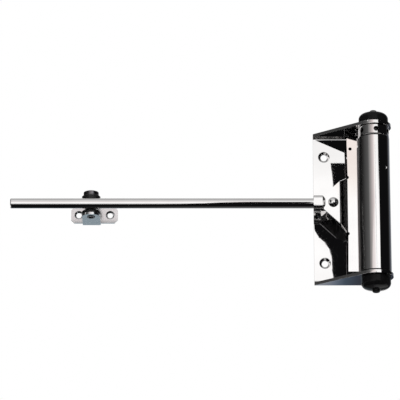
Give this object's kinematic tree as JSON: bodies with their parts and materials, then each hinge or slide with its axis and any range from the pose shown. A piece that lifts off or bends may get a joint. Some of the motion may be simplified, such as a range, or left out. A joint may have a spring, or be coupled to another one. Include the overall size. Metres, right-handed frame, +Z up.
{
  "type": "spring door closer",
  "caption": "Surface door closer: torsion-spring barrel between the ears of a base plate, swinging a steel rod that runs behind a grooved roller guide.",
  "frame": {"origin": "midway between the two base screw holes, on the plate face that lies against the wall", "axes": "+X from the rod's free end to the barrel, +Y into the wall, +Z up along the barrel"},
  "size_m": [0.2951, 0.0496, 0.148],
  "materials": {
    "polished_steel": "mirror-polished stainless sheet and bar",
    "black_cap_plastic": "moulded, smooth gloss",
    "black_nylon": "moulded nylon, satin",
    "white_nylon": "turned nylon",
    "turned_steel": "turned, zinc plated",
    "spring_steel": "drawn wire, oiled",
    "plated_steel": "stamped, bright plated",
    "dark_steel": "blackened rivet"
  },
  "bodies": {
    "base": {"base_bracket": "polished_steel", "spindle": "turned_steel", "top_cap_washer": "turned_steel", "bottom_cap_washer": "turned_steel", "top_nut": "turned_steel", "bottom_nut": "turned_steel", "top_cap": "black_cap_plastic", "bottom_cap": "black_cap_plastic", "bottom_washer": "black_nylon"},
    "arm": {"arm_barrel": "polished_steel", "arm_rod": "polished_steel", "arm_rivet": "polished_steel", "bottom_plug": "turned_steel", "bottom_bush": "white_nylon", "top_bush": "white_nylon", "torsion_spring": "spring_steel"},
    "collar": {"tension_collar": "polished_steel", "collar_washer": "black_nylon"},
    "guide_pin": {"guide_pin": "dark_steel", "guide_washer": "dark_steel"},
    "guide_bracket": {"guide_bracket": "plated_steel"},
    "guide_roller": {"guide_roller": "black_nylon"}
  },
  "joints": [
    {"name": "arm_swing", "type": "hinge", "parent": "base", "child": "arm", "pos_m": [0.038, -0.0245, 0], "axis": [0, 0, 1], "range_deg": [-8, 120], "stiffness_Nm_per_rad": 1.15, "deforming": ["torsion_spring"]},
    {"name": "collar_turn", "type": "hinge", "parent": "base", "child": "collar", "pos_m": [0.038, -0.0245, 0], "axis": [0, 0, 1], "range_deg": [-300, 0], "deforming": ["torsion_spring"]},
    {"name": "guide_slide", "type": "slide", "parent": "arm", "child": "guide_pin", "axis": [1, 0, 0], "range_m": [-0.045, 0.135]},
    {"name": "guide_swivel", "type": "hinge", "parent": "guide_pin", "child": "guide_bracket", "pos_m": [-0.1813, -0.0099, 0], "axis": [0, 0, 1], "range_deg": [-45, 45]},
    {"name": "roller_spin", "type": "hinge", "parent": "guide_pin", "child": "guide_roller", "pos_m": [-0.1813, -0.0099, 0], "axis": [0, 0, 1], "continuous": true}
  ],
  "couplings": [
    {"joint": "roller_spin", "follows": "guide_slide", "rad_per_m": -232.56}
  ]
}
